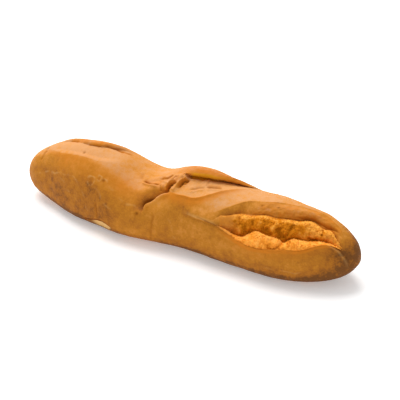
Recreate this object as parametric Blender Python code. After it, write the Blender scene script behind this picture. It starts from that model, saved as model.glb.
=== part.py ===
"""A short baguette in one solid: a proofed loaf opened by three slanting scores.

Metres, +Z up. The loaf lies along X on its flat base, with the long score towards +X
and the opened side of its scores towards -Y. A place on the crust is given by its
station x along the loaf and by its angle round the section: 0 degrees on the crest,
-90 on the near side, +90 on the far side and 180 under the base.
"""
import math

import bmesh
import bpy
from mathutils import Matrix, Vector

MM = 0.001

# Proofed loaf
LENGTH = 280 * MM
WIDTH = 63.8 * MM
CREST = 53.1 * MM
TIP_HEIGHT = 18.8 * MM
END_BLUNTNESS = {"left": 3.47, "right": 3.66}
UNDERSIDE_SQUARENESS = 2.7
BASE_PRESS = 1.12
BASE_EDGE = 149
UNDERSIDE_EDGE = 118

# Swells along the loaf: station in millimetres, reach in millimetres, share of the size
WIDTH_SWELLS = ((-75, 45, -0.085), (-10, 40, 0.162), (75, 45, 0.071))
NEAR_SWELLS = ((-110, 22, -0.140), (-45, 22, 0.063), (12, 22, -0.083), (60, 22, -0.047))
CREST_SWELLS = (
    (-75, 40, 0.114),
    (-26, 22, -0.225),
    (10, 25, 0.001),
    (50, 20, -0.097),
    (90, 40, -0.056),
    (122, 20, 0.026),
)
TIP_SWELLS = ((-140, 30, -0.06), (120, 25, 0.03))
# The loaf isn't quite straight: station, reach, shift to the far side, all in millimetres
BENDS = ((-140, 60, 11.7), (0, 60, 8.5), (140, 60, 1.4))

# Scores: the blade is held at a slant and opens each one along this line
BLADE = Vector((-0.43, 0.77, -0.47)).normalized()
NARROWEST_SCORE = 3.0
LIP_DROP = 0.8 * MM
LUMP_DEPTH = 4.2 * MM
VALLEY_DEPTH = 7.2 * MM
CREST_DEPTH = 4.2 * MM
CREASE_DEPTH = 7.6 * MM
RIDGE_HOLLOW = 1.6 * MM
CREST_SHARE = 0.86
MIDDLE_DEPTH = 4.8 * MM
MIDDLE_GAP = 7.4 * MM
GAP_SHARE = 0.79
FIRST_DEPTH = 2.0 * MM
MIDDLE_EAR = 2.1 * MM
FIRST_EAR = 1.7 * MM

# Waist: the left half dips under the right half's edge along these (station, angle) points
WAIST = ((1, -39), (-6, -41.5), (-10.5, -49), (-15.7, -54.5), (-16, -70))
WAIST_DIP = 3.8 * MM
WAIST_REACH = 5.0 * MM
WAIST_STEP = 2.6 * MM
WAIST_LIP = 1.2 * MM
WAIST_LIP_REACH = 3.6 * MM
# Soft lobes of dough there: station, angle, reach along in millimetres, reach round, height
LOBES = (
    (-17.0, -29.5, 6.0, 7.0, 1.7 * MM),
    (-18.0, -17.0, 5.5, 3.5, -1.2 * MM),
    (4.5, -16.0, 4.0, 6.0, 1.5 * MM),
)
# Furrow round the right tip
FURROW = ((119, -41), (125.7, -43.2), (130.6, -49.9), (134.8, -66.4), (136.8, -104))
FURROW_DEPTH = 1.2 * MM
FURROW_HALF_WIDTH = 1.6 * MM

RINGS = 86
CRUST_COLOUR = (0.56, 0.235, 0.055, 1.0)
CRUST_ROUGHNESS = 0.55


def ease(start, end, value):
    """Rise smoothly from 0 to 1 between two stations or shares."""
    share = min(max((value - start) / (end - start), 0.0), 1.0)
    return share * share * (3.0 - 2.0 * share)


def hill(value, centre, reach):
    """Soft hill of height 1."""
    return math.exp(-(((value - centre) / reach) ** 2))


def swell(terms, x):
    """Sum of soft hills along the loaf."""
    return sum(amount * hill(x / MM, place, reach) for place, reach, amount in terms)


def crust_point(x, degrees):
    """Place on the proofed loaf before it is scored."""
    bluntness = END_BLUNTNESS["left" if x < 0 else "right"]
    reach = min(abs(x) / (LENGTH / 2), 1.0)
    end = math.sqrt(1.0 - reach**bluntness)
    base_end = (1.0 - reach ** (1.9 * bluntness)) ** 0.6
    angle = math.radians(degrees)
    up, out = math.cos(angle), math.sin(angle)
    half_width = WIDTH / 2 * end * (1.0 + swell(WIDTH_SWELLS, x))
    if out < 0.0:
        half_width *= 1.0 + swell(NEAR_SWELLS, x)
    tip = TIP_HEIGHT * (1.0 + swell(TIP_SWELLS, x))
    rise = (CREST * (1.0 + swell(CREST_SWELLS, x)) - tip) * end
    if up >= 0.0:
        y = half_width * out
        z = tip + rise * up
    else:
        power = 2.0 / UNDERSIDE_SQUARENESS
        y = math.copysign(half_width * abs(out) ** power, out)
        z = tip * (1.0 - BASE_PRESS * base_end * abs(up) ** power)
    return Vector((x, y + swell(BENDS, x) * MM, max(z, 0.0)))


def score_lips(x):
    """Angles of the lips of the three scores at one station, from near to far."""
    s = x / MM
    third_near = -78 + 14 * ease(-25, 12, s) + 2 * ease(24, 40, s) - 13.5 * ease(40, 72, s)
    third_near += 8.5 * ease(74, 104, s) + 22 * ease(102, 126, s)
    third_far = -46 - 12 * ease(-25, 12, s) + 48 * ease(28, 64, s) + 24 * ease(60, 104, s)
    third_far += -8 * ease(112, 122, s) - 40 * ease(122, 137, s)
    second_near = -39 - 3.2 * ease(-2, 8, s) + 80 * ease(17, 67, s) - 10 * ease(50, 80, s)
    second_far = -34 + 26 * ease(-45, -25, s) - 3 * ease(-4, 6, s) + 11 * ease(12, 32, s)
    second_far += 52 * ease(22, 74, s) - 2.5 * hill(s, 28, 4)
    first_near = -10 - 21.5 * ease(-138, -94, s) + 47 * ease(-66, -14, s) + 45 * ease(15, 65, s)
    first_far = -8 + 14 * ease(-127, -102, s) - 12 * ease(-103, -76, s) + 35 * ease(-72, -34, s)
    first_far += 50 * ease(10, 65, s)
    lips = [third_near, third_far, second_near, second_far, first_near, first_far]
    for i in range(1, len(lips)):
        lips[i] = max(lips[i], lips[i - 1] + NARROWEST_SCORE)
    return lips


def crest_angle(x):
    """Line of the crest of the torn ridge in the third score."""
    s = x / MM
    rising = -60 + 23.5 * ease(36, 58, s) + 6 * ease(64, 80, s) + 6.5 * ease(82, 100, s)
    notch = 7 * ease(98, 108, s) - 5.5 * ease(109, 117, s) + 5 * ease(117, 122, s)
    return rising + notch - 25 * ease(120, 132, s)


def valley_angle(x):
    """Line of the valley between the torn ridge and the two low lumps before it."""
    s = x / MM
    first_lump = -61 - 5 * ease(48, 62, s) + 13.3 * ease(64, 75, s) - 2.2 * ease(75, 84, s)
    between = -4 * hill(s, 94.9, 2.8) + 5.2 * ease(95, 102, s)
    return first_lump + between + 6 * ease(108, 120, s) - 2.5 * ease(121, 128, s)


def lines_round_section(x):
    """Angles of all the lines that the rows of faces follow."""
    third_near, third_far, *others = score_lips(x)
    opening = third_far - third_near
    valley = max(valley_angle(x), third_near + 0.06 * opening)
    valley = min(valley, third_near + 0.70 * opening)
    crease = max(crest_angle(x) + 2.5, valley + 0.15 * opening)
    crease = min(crease, third_near + 0.90 * opening)
    scores = [third_near, valley, crease, third_far] + others
    return [-180, -BASE_EDGE, -UNDERSIDE_EDGE] + scores + [UNDERSIDE_EDGE, BASE_EDGE, 180]


def third_opening(x):
    """How far the third score stands open."""
    return ease(38 * MM, 62 * MM, x) * (1.0 - ease(120 * MM, 132 * MM, x))


def second_opening(x):
    """How far the second score stands open."""
    return ease(1 * MM, 11 * MM, x) * (1.0 - ease(38 * MM, 58 * MM, x))


def first_opening(x):
    """How far the first score stands open."""
    return ease(-116 * MM, -98 * MM, x) * (1.0 - ease(-52 * MM, -38 * MM, x))


def no_depth(share, x):
    """Uncut crust."""
    return 0.0


def third_lumps(share, x):
    """Low lumps of crumb just inside the near lip."""
    if share == 0.0:
        return 0.0
    return third_opening(x) * (LIP_DROP + (LUMP_DEPTH - LIP_DROP) * share**1.3)


def third_ridge(share, x):
    """Long ridge of torn crumb, from the valley over its crest to the crease behind it."""
    crest = CREST_DEPTH * (0.65 + 0.35 * ease(50 * MM, 74 * MM, x))
    rise = min(share / CREST_SHARE, 1.0)
    bed = VALLEY_DEPTH + (crest - VALLEY_DEPTH) * rise
    return third_opening(x) * (bed - RIDGE_HOLLOW * math.sin(math.pi * rise) ** 0.8)


def third_wall(share, x):
    """Back wall from the crease up to the far lip."""
    deepest = CREASE_DEPTH * (1.0 + 0.25 * ease(80 * MM, 110 * MM, x))
    steepness = 1.05 + 0.5 * ease(80 * MM, 108 * MM, x)
    fade = (0.62 + 0.38 * ease(50 * MM, 80 * MM, x)) * (1.0 - 0.45 * ease(114 * MM, 125 * MM, x))
    return third_opening(x) * deepest * fade * (1.0 - share) ** steepness


def second_bed(share, x):
    """Stretched bed of the second score, with the gap under its ear."""
    bed = MIDDLE_DEPTH * (1.0 - (1.0 - min(share / GAP_SHARE, 1.0)) ** 1.8)
    under_ear = ease(GAP_SHARE, 0.86, share) * ease(7.5 * MM, 11 * MM, x)
    return second_opening(x) * (bed + (MIDDLE_GAP - MIDDLE_DEPTH) * under_ear)


def first_bed(share, x):
    """Flat, smooth bed of the first score."""
    return first_opening(x) * FIRST_DEPTH * ease(0.0, 0.22, share)


# Rows of faces from each line to the next, and the depth below the uncut crust there
BANDS = (
    (2, no_depth),
    (3, no_depth),
    (6, no_depth),
    (4, third_lumps),
    (7, third_ridge),
    (4, third_wall),
    (3, no_depth),
    (8, second_bed),
    (4, no_depth),
    (5, first_bed),
    (6, no_depth),
    (2, no_depth),
    (2, no_depth),
)


def loaf_stations():
    """Ring stations from tip to tip, evenly spaced along the outline seen from above."""
    steps = 4000
    outline = [crust_point(-LENGTH / 2 * math.cos(math.pi * i / steps), 90) for i in range(steps + 1)]
    half_widths = [point.y - swell(BENDS, point.x) * MM for point in outline]
    travelled = [0.0]
    for i in range(steps):
        across = half_widths[i + 1] - half_widths[i]
        travelled.append(travelled[i] + math.hypot(outline[i + 1].x - outline[i].x, across))
    stations = []
    i = 0
    for ring in range(RINGS + 1):
        target = travelled[-1] * ring / RINGS
        while i < steps - 1 and travelled[i + 1] < target:
            i += 1
        stations.append(outline[i].x)
    stations[-1] = LENGTH / 2
    return stations


def outward_from_axis(surface):
    """Direction from the middle of the section to a place on the crust."""
    middle = Vector((surface.x, swell(BENDS, surface.x) * MM, TIP_HEIGHT))
    return (surface - middle).normalized()


def from_path(surface, path, outward):
    """Distance from a chain of straight lines, positive on its left seen from outside."""
    nearest = LENGTH
    side = 1.0
    for start, end in zip(path, path[1:]):
        line = end - start
        offset = surface - start
        share = min(max(offset.dot(line) / line.length_squared, 0.0), 1.0)
        distance = (offset - line * share).length
        if distance < nearest:
            nearest = distance
            side = math.copysign(1.0, line.cross(offset).dot(outward))
    return nearest * side


def ear_rise(x, degrees):
    """Lift of the crust beyond the second and first scores."""
    lips = score_lips(x)
    beyond = degrees - lips[3]
    rise = MIDDLE_EAR * second_opening(x) * ease(-1.0, 2.0, beyond) * hill(beyond, 7, 10)
    beyond = degrees - lips[5]
    return rise + FIRST_EAR * first_opening(x) * ease(-1.0, 1.5, beyond) * hill(beyond, 6, 8)


def waist_rise(surface, path, outward):
    """Dip of the left half at the waist, and the edge of the right half over it."""
    distance = from_path(surface, path, outward)
    start = (surface - path[0]).length
    end = (surface - path[-1]).length
    fade = ease(0.0, 4 * MM, start) * ease(0.0, 4 * MM, end)
    dip = hill(distance, 0.0, WAIST_REACH if distance < 0.0 else WAIST_STEP)
    return fade * (WAIST_LIP * hill(distance, WAIST_LIP_REACH, WAIST_LIP_REACH) - WAIST_DIP * dip)


def furrow_rise(surface, path, outward):
    """Shallow furrow round the right tip."""
    return -FURROW_DEPTH * hill(from_path(surface, path, outward), 0.0, FURROW_HALF_WIDTH)


def lobe_rise(x, degrees):
    """Soft lobes of dough at the waist."""
    return sum(
        height * hill(x / MM, place, reach) * hill(degrees, angle, turn)
        for place, angle, reach, turn, height in LOBES
    )


def scored_point(x, column, waist, furrow):
    """Place of one vertex: its row of faces picks the angle and the depth."""
    lines = lines_round_section(x)
    row = column
    for band, (rows, depth) in enumerate(BANDS):
        if row < rows:
            break
        row -= rows
    share = row / rows
    degrees = lines[band] + (lines[band + 1] - lines[band]) * share
    surface = crust_point(x, degrees)
    if abs(degrees) > BASE_EDGE:
        return surface
    outward = outward_from_axis(surface)
    rise = ear_rise(x, degrees) + lobe_rise(x, degrees)
    rise += waist_rise(surface, waist, outward) + furrow_rise(surface, furrow, outward)
    point = surface + BLADE * depth(share, x) + outward * rise
    return Vector((point.x, point.y, max(point.z, 0.0)))


def bake_crust_material():
    material = bpy.data.materials.new("crust")
    material.use_nodes = True
    shader = material.node_tree.nodes["Principled BSDF"]
    shader.inputs["Base Color"].default_value = CRUST_COLOUR
    shader.inputs["Roughness"].default_value = CRUST_ROUGHNESS
    shader.inputs["Metallic"].default_value = 0.0
    return material


def shape_loaf(collection):
    """Turn a sphere with its poles on X into the scored loaf."""
    columns = sum(rows for rows, _ in BANDS)
    mesh = bpy.data.meshes.new("loaf")
    form = bmesh.new()
    bmesh.ops.create_uvsphere(form, u_segments=columns, v_segments=RINGS, radius=1.0)
    bmesh.ops.rotate(form, verts=form.verts, matrix=Matrix.Rotation(math.radians(90), 3, "Y"))
    stations = loaf_stations()
    waist = [crust_point(x * MM, degrees) for x, degrees in WAIST]
    furrow = [crust_point(x * MM, degrees) for x, degrees in FURROW]
    for vertex in form.verts:
        latitude = math.acos(min(max(-vertex.co.x, -1.0), 1.0)) / math.pi
        ring = round(latitude * RINGS)
        if ring in (0, RINGS):
            vertex.co = crust_point(stations[ring], 0.0)
            continue
        turn = math.atan2(-vertex.co.y, -vertex.co.z) / (2.0 * math.pi)
        column = round(turn * columns) % columns
        vertex.co = scored_point(stations[ring], column, waist, furrow)
    sides = [vertex.co.y for vertex in form.verts]
    to_middle = Vector((0.0, -(min(sides) + max(sides)) / 2, 0.0))
    bmesh.ops.translate(form, verts=form.verts, vec=to_middle)
    bmesh.ops.recalc_face_normals(form, faces=form.faces)
    form.to_mesh(mesh)
    form.free()
    mesh.shade_smooth()
    mesh.materials.append(bake_crust_material())
    loaf = bpy.data.objects.new("loaf", mesh)
    collection.objects.link(loaf)
    return loaf


def build():
    for old in list(bpy.data.objects):
        bpy.data.objects.remove(old, do_unlink=True)
    collection = bpy.data.collections.new("baguette")
    bpy.context.scene.collection.children.link(collection)
    shape_loaf(collection)


build()
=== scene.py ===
import bmesh
import bpy
import numpy as np
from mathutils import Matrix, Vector


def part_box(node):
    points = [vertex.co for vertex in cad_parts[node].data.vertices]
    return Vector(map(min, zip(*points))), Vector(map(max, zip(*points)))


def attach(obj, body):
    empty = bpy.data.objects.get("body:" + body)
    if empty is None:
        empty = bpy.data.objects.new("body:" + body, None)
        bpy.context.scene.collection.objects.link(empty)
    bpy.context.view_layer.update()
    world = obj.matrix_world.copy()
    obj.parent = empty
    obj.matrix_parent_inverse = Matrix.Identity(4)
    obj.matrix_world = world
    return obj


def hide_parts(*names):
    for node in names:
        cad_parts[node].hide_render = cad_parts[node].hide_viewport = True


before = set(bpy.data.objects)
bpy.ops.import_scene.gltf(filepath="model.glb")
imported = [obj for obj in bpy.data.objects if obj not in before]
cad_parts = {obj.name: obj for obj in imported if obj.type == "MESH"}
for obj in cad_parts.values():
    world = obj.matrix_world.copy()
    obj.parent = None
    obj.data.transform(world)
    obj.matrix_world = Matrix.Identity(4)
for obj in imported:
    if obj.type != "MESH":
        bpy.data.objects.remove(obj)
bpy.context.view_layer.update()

# ---------------------------------------------------------------------------
# The crust. A short baguette of white dough, rolled, proofed and scored three times at a slant, then
# baked on a flat tray. Its crust is one skin: smooth where it stretched, folded at the waist where two
# scores pulled at it, lifted into ears beyond the scores, and cracked low down where the oven split it.

# Sizes are millimetres in this section. A place on the crust is its station x along the loaf and its
# angle round the section: 0 on the crest, -90 on the near side, +90 on the far side, 180 underneath.
MILLIMETRE = 0.001
loaf_low, loaf_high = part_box("loaf")
box_length, box_width, box_height = (loaf_high - loaf_low) / MILLIMETRE
LENGTH = box_length
# Width and crest of the even loaf, before its swells and lifts
WIDTH = 0.8542 * box_width
CREST = 0.9292 * box_height
TIP_HEIGHT = 0.3289 * box_height
TIP_SWELLS = ((-140, 30, -0.06), (120, 25, 0.03))
END_BLUNTNESS = (3.47, 3.66)
UNDERSIDE_SQUARENESS = 2.7
BASE_PRESS = 1.12
BASE_EDGE = 149
UNDERSIDE_EDGE = 118
WIDTH_SWELLS = ((-75, 45, -0.085), (-10, 40, 0.162), (75, 45, 0.071))
NEAR_SWELLS = ((-110, 22, -0.140), (-45, 22, 0.063), (12, 22, -0.083), (60, 22, -0.047))
CREST_SWELLS = ((-75, 40, 0.114), (-26, 22, -0.225), (10, 25, 0.001), (50, 20, -0.097))
CREST_SWELLS += ((90, 40, -0.056), (122, 20, 0.026))
BENDS = ((-140, 60, 11.7), (0, 60, 8.5), (140, 60, 1.4))
NARROWEST_SCORE = 3.0
RINGS = 386

# The blade goes in at a slant, and every score opens along its line
BLADE = np.array((-0.43, 0.77, -0.47))
BLADE /= np.linalg.norm(BLADE)

# Rows of faces between one line round the section and the next
BANDS = ("base near", "under near", "flank", "lumps", "ridge", "wall", "plateau")
BANDS += ("second bed", "shoulder", "first bed", "far side", "under far", "base far")
ROWS = (5, 12, 48, 12, 14, 26, 20, 46, 20, 20, 20, 7, 4)


def ease(start, end, value):
    """Rise smoothly from 0 to 1 between two stations or shares."""
    share = np.clip((value - start) / (end - start), 0.0, 1.0)
    return share * share * (3.0 - 2.0 * share)


def hill(value, centre, reach):
    """Soft hill of height 1."""
    return np.exp(-(((value - centre) / reach) ** 2))


def swell(terms, x):
    """Sum of soft hills along the loaf: station, reach, amount."""
    return sum(amount * hill(x, place, reach) for place, reach, amount in terms)


def crust_point(x, degrees):
    """Places on the proofed loaf before it is scored."""
    x, degrees = np.broadcast_arrays(np.asarray(x, float), np.asarray(degrees, float))
    bluntness = np.where(x < 0, *END_BLUNTNESS)
    reach = np.clip(np.abs(x) / (LENGTH / 2), 0.0, 1.0)
    end = np.sqrt(1.0 - reach**bluntness)
    base_end = (1.0 - reach ** (1.9 * bluntness)) ** 0.6
    up, out = np.cos(np.radians(degrees)), np.sin(np.radians(degrees))
    half_width = WIDTH / 2 * end * (1.0 + swell(WIDTH_SWELLS, x))
    half_width = half_width * (1.0 + np.where(out < 0, swell(NEAR_SWELLS, x), 0.0))
    tip = TIP_HEIGHT * (1.0 + swell(TIP_SWELLS, x))
    rise = (CREST * (1.0 + swell(CREST_SWELLS, x)) - tip) * end
    power = 2.0 / UNDERSIDE_SQUARENESS
    upper = up >= 0.0
    y = half_width * np.where(upper, out, np.sign(out) * np.abs(out) ** power)
    lower_z = tip * (1.0 - BASE_PRESS * base_end * np.abs(up) ** power)
    z = np.where(upper, tip + rise * up, lower_z)
    return np.stack([x, y + swell(BENDS, x), np.maximum(z, 0.0)], axis=-1)


def score_lips(x):
    """Angles of the near and far lips of the third, second and first scores."""
    third_near = -78 + 14 * ease(-25, 12, x) + 2 * ease(24, 40, x) - 13.5 * ease(40, 72, x)
    third_near = third_near + 8.5 * ease(74, 104, x) + 22 * ease(102, 126, x)
    third_far = -46 - 12 * ease(-25, 12, x) + 48 * ease(28, 64, x) + 24 * ease(60, 104, x)
    third_far = third_far - 8 * ease(112, 122, x) - 40 * ease(122, 137, x)
    second_near = -39 - 3.2 * ease(-2, 8, x) + 80 * ease(17, 67, x) - 10 * ease(50, 80, x)
    second_far = -34 + 26 * ease(-45, -25, x) - 3 * ease(-4, 6, x) + 11 * ease(12, 32, x)
    second_far = second_far - 2.5 * hill(x, 28, 4) + 52 * ease(22, 74, x)
    first_near = -10 - 21.5 * ease(-138, -94, x) + 47 * ease(-66, -14, x) + 45 * ease(15, 65, x)
    first_far = -8 + 14 * ease(-127, -102, x) - 12 * ease(-103, -76, x) + 35 * ease(-72, -34, x)
    first_far = first_far + 50 * ease(10, 65, x)
    lips = [third_near, third_far, second_near, second_far, first_near, first_far]
    for i in range(1, len(lips)):
        lips[i] = np.maximum(lips[i], lips[i - 1] + NARROWEST_SCORE)
    return lips


def crest_angle(x):
    """Line of the crumb ridge's crest, notched before its last lump."""
    rising = -60 + 11.5 * ease(39, 45, x) + 12 * ease(43, 60, x)
    rising = rising + 6 * ease(64, 80, x) + 6.5 * ease(82, 100, x)
    notch = 7 * ease(98, 108, x) - 5.5 * ease(109, 117, x) + 5 * ease(117, 122, x)
    return rising + notch - 25 * ease(120, 132, x)


def valley_angle(x):
    """Line of the valley between the crumb ridge and the two low lumps before it."""
    first_lump = -61 - 5 * ease(48, 62, x) + 13.3 * ease(64, 75, x) - 2.2 * ease(75, 84, x)
    between = -4 * hill(x, 94.9, 2.8) + 5.2 * ease(95, 102, x)
    return first_lump + between + 6 * ease(108, 120, x) - 2.5 * ease(121, 128, x)


def lines_round_section(x):
    """Angles of all the lines that the rows of faces follow."""
    third_near, third_far, *others = score_lips(x)
    opening = third_far - third_near
    valley = np.clip(valley_angle(x), third_near + 0.06 * opening, third_near + 0.70 * opening)
    crease = np.clip(crest_angle(x) + 2.5, valley + 0.15 * opening, third_near + 0.90 * opening)
    scores = [third_near, valley, crease, third_far] + others
    lines = [-180, -BASE_EDGE, -UNDERSIDE_EDGE] + scores + [UNDERSIDE_EDGE, BASE_EDGE, 180]
    return [np.broadcast_to(line, x.shape) for line in lines]


def loaf_stations(rings):
    """Ring stations from tip to tip along the outline seen from above, closer at the waist."""
    x = -LENGTH / 2 * np.cos(np.linspace(0.0, np.pi, 20001))
    half_width = crust_point(x, 90)[:, 1] - swell(BENDS, x)
    closeness = 1.0 + 0.7 * ease(-34, -27, x[1:]) * (1.0 - ease(38, 45, x[1:]))
    steps = closeness * np.hypot(np.diff(x), np.diff(half_width))
    travelled = np.concatenate([[0.0], np.cumsum(steps)])
    return np.interp(np.linspace(0.0, travelled[-1], rings + 1), travelled, x)


def chart(x, bands, rows):
    """Station, angle, band and share across the band of every vertex, in rings of one station each."""
    lines = lines_round_section(x)
    angles, numbers, shares = [], [], []
    for band, count in zip(bands, rows):
        number = BANDS.index(band)
        share = np.arange(count) / count
        step = (lines[number + 1] - lines[number])[:, None]
        angles.append(lines[number][:, None] + step * share)
        numbers.append(np.full(count, number))
        shares.append(share)
    angle = np.concatenate(angles, axis=1)
    station = np.repeat(x[:, None], angle.shape[1], axis=1)
    number = np.broadcast_to(np.concatenate(numbers), angle.shape)
    share = np.broadcast_to(np.concatenate(shares), angle.shape)
    return station, angle, number, share


def soft_noise(points, size, seed):
    """Smooth noise from about -1 to 1, with grains of the given size."""
    grid = points / size + seed * 17.13
    cell = np.floor(grid).astype(np.int64)
    inside = grid - cell
    weight = inside**3 * (inside * (inside * 6 - 15) + 10)
    total = np.zeros(points.shape[:-1])
    for corner in np.ndindex(2, 2, 2):
        at = cell + corner
        key = at[..., 0] * 73856093 ^ at[..., 1] * 19349663 ^ at[..., 2] * 83492791 ^ seed * 2654435
        key = (key ^ (key >> 13)) * 1274126177 & 0xFFFFFFFF
        key = key ^ (key >> 16)
        slope = np.stack([key & 1023, key >> 10 & 1023, key >> 20 & 1023], axis=-1) / 511.5 - 1.0
        share = np.prod(np.where(corner, weight, 1.0 - weight), axis=-1)
        total += share * np.sum(slope * (inside - corner), axis=-1)
    return total * 1.4


def smooth_route(points, steps=10):
    """Smooth curve through (station, angle) points, as places on the unscored crust."""
    p = np.array([points[0], *points, points[-1]], float)
    t = (np.arange(steps) / steps)[:, None]
    spans = []
    for a, b, c, d in zip(p, p[1:], p[2:], p[3:]):
        bend = t * (2 * a - 5 * b + 4 * c - d + t * (3 * (b - c) + d - a))
        spans.append(b + 0.5 * t * (c - a + bend))
    route = np.concatenate(spans + [p[-1:]])
    return crust_point(route[:, 0], route[:, 1])


def from_route(points, places, outward):
    """Distance of each place from a route, positive on its left from outside, and share of its length."""
    route = smooth_route(points)
    nearest = np.full(places.shape[:-1], 1e9)
    along = np.zeros(places.shape[:-1])
    side = np.ones(places.shape[:-1])
    last = len(route) - 1
    for i in range(last):
        line = route[i + 1] - route[i]
        offset = places - route[i]
        share = np.clip(offset @ line / (line @ line), 0.0, 1.0)
        distance = np.linalg.norm(offset - share[..., None] * line, axis=-1)
        closer = distance < nearest
        left = np.sum(np.cross(line, offset) * outward, axis=-1)
        nearest = np.where(closer, distance, nearest)
        along = np.where(closer, (i + share) / last, along)
        side = np.where(closer, np.where(left >= 0, 1.0, -1.0), side)
    return nearest * side, along


def fade_ends(along, start, end):
    """1 along the middle of a route, falling to 0 at its two ends."""
    return ease(0.0, start, along) * (1.0 - ease(end, 1.0, along))


def third_opening(x):
    """How far the third score stands open."""
    return ease(38, 62, x) * (1.0 - ease(120, 132, x))


def second_opening(x):
    return ease(1, 11, x) * (1.0 - ease(38, 58, x))


def first_opening(x):
    return ease(-116, -98, x) * (1.0 - ease(-58, -42, x))


# Depths along the blade's line
LIP_DROP = 0.8
LUMP_DEPTH = 4.2
VALLEY_DEPTH = 7.2
CREST_DEPTH = 4.2
CREASE_DEPTH = 7.6
CRUMB_THICKNESS = 1.8
SECOND_DEPTH = 4.8
SECOND_GAP = 7.4
FIRST_DEPTH = 2.0
CREST_SHARE = 0.86


def crumb_depth(x, number, share):
    """Depth of the torn crumb in the third score."""
    lumps = LIP_DROP * ease(0, 0.10, share) + (LUMP_DEPTH - LIP_DROP) * share**1.3
    lumps = lumps - 0.9 * np.sin(np.pi * share) + (VALLEY_DEPTH - LUMP_DEPTH) * ease(0.88, 1.0, share) ** 2
    rise = np.clip(share / CREST_SHARE, 0.0, 1.0)
    crest = CREST_DEPTH * (0.65 + 0.35 * ease(50, 74, x))
    bed = VALLEY_DEPTH + (crest - VALLEY_DEPTH) * rise - 1.6 * np.sin(np.pi * rise) ** 0.8
    bed = bed + (CREASE_DEPTH - crest) * ease(CREST_SHARE, 1.02, share)
    return third_opening(x) * np.where(number == BANDS.index("lumps"), lumps, bed)


def gap_start(x):
    """Share across the second bed where it tears away under the ear."""
    torn = 0.09 * hill(x, 24.2, 1.6) - 0.03 * hill(x, 20, 1.6) + 0.03 * hill(x, 15.5, 1.4)
    return 0.79 + torn + 0.03 * ease(28, 36, x)


def crust_depth(x, number, share):
    """Depth of the crust below the unscored loaf. Under the crumb it stays clear of it."""
    opening = third_opening(x)
    sunk = CRUMB_THICKNESS * opening
    wall = CREASE_DEPTH * (1.0 + 0.25 * ease(80, 110, x)) * (1.0 - share) ** (1.05 + 0.5 * ease(80, 108, x))
    depths = {
        "lumps": crumb_depth(x, BANDS.index("lumps"), share) + sunk * ease(0.0, 0.12, share),
        "ridge": crumb_depth(x, BANDS.index("ridge"), share) + sunk * (1.0 - ease(0.86, 1.0, share)),
        "wall": opening * wall * (0.62 + 0.38 * ease(50, 80, x)) * (1.0 - 0.45 * ease(114, 125, x)),
    }
    torn = gap_start(x)
    bed = SECOND_DEPTH * (1.0 - (1.0 - np.clip(share / torn, 0.0, 1.0)) ** 1.8)
    bed = bed + (SECOND_GAP - SECOND_DEPTH) * ease(torn, torn + 0.06, share) * ease(7.5, 11, x)
    depths["second bed"] = second_opening(x) * bed * (1.0 - ease(0.96, 1.0, share))
    bed = FIRST_DEPTH * ease(0.0, 0.22, share) * (1.0 - ease(0.90, 1.0, share))
    depths["first bed"] = first_opening(x) * bed
    return sum(np.where(number == BANDS.index(band), depth, 0.0) for band, depth in depths.items())


stations = loaf_stations(RINGS)
x, angle, number, share = chart(stations[1:-1], BANDS, ROWS)
skin = crust_point(x, angle)
middle = np.stack([x, swell(BENDS, x), np.full(x.shape, TIP_HEIGHT)], axis=-1)
outward = (skin - middle) / np.linalg.norm(skin - middle, axis=-1, keepdims=True)
lines = lines_round_section(x)
third_near, valley, crease, third_far, second_near, second_far, first_near, first_far = lines[3:11]
depth = crust_depth(x, number, share)
lift = np.zeros(x.shape)
dark = np.zeros(x.shape)
browned_and_shaded = np.zeros(x.shape)
toasted_and_shaded = np.zeros(x.shape)
pale = np.zeros(x.shape)

# Ears: the crust beyond the second and first scores lifts in a roll and toasts
beyond = angle - second_far
lift += 2.1 * second_opening(x) * ease(-1.0, 2.0, beyond) * hill(beyond, 7, 10)
lift += 0.50 * second_opening(x) * hill(beyond, 3, 5) * soft_noise(skin, 3.2, 65)
ear = ease(-12, 14, x) * (1 - ease(40, 58, x))
toasted_and_shaded += 0.95 * ear * ease(-2.0, 1.0, beyond) * (1 - ease(20, 36, beyond))
browned_and_shaded += 0.75 * ear * ease(-2.0, 1.0, beyond) * (1 - ease(4, 16, beyond))
browned_and_shaded += 0.45 * ear * ease(12, 30, beyond) * (1 - ease(50, 70, beyond))
dark += ear * (0.22 + 0.15 * soft_noise(skin, 4.0, 68)) * ease(1.0, 3.0, beyond) * (1 - ease(14, 36, beyond))
browned_and_shaded += 0.7 * ear * hill(beyond, 5, 8) * soft_noise(skin, 4.5, 66)
beyond = angle - first_far
lift += 1.3 * first_opening(x) * ease(-1.0, 2.5, beyond) * hill(beyond, 6, 8)
toasted_and_shaded += 0.45 * first_opening(x) * ease(-1.0, 1.0, beyond) * (1 - ease(8, 18, beyond))

beyond = angle - third_far
lift += 1.0 * ease(85, 100, x) * (1 - ease(114, 128, x)) * ease(-2.0, 3.0, beyond) * hill(beyond, 6, 12)

# Near lips: the crust below them stands proud and is toasted
rim = third_opening(x) * hill(angle, third_near - 1.0, 3.0) * (angle <= third_near + 0.5)
lift += 0.4 * rim
below = third_near - angle
toasted_and_shaded += 1.1 * third_opening(x) * ease(-1.5, 0.0, below) * (1 - ease(2.0, 7.0, below))
browned_and_shaded += 0.85 * third_opening(x) * ease(-1.0, 0.5, below) * (1 - ease(1.5, 6.0, below))
toasted_and_shaded += 0.30 * third_opening(x) * ease(0, 2, below) * (1 - ease(8, 20, below))
# A painted highlight lightens the near lip where it peaks by the right tip
browned_and_shaded -= 1.2 * hill(x, 117, 5) * hill(below, 0.0, 2.5)
below = second_near - angle
second_rim = ease(-8, 4, x) * (1 - ease(36, 56, x)) * ease(-0.5, 0.8, below)
lift += 0.7 * second_rim * hill(below, 0.5, 2.6) * ease(2, 10, x)
toasted_and_shaded += 0.85 * second_rim * (1 - ease(4, 17, below))
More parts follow.
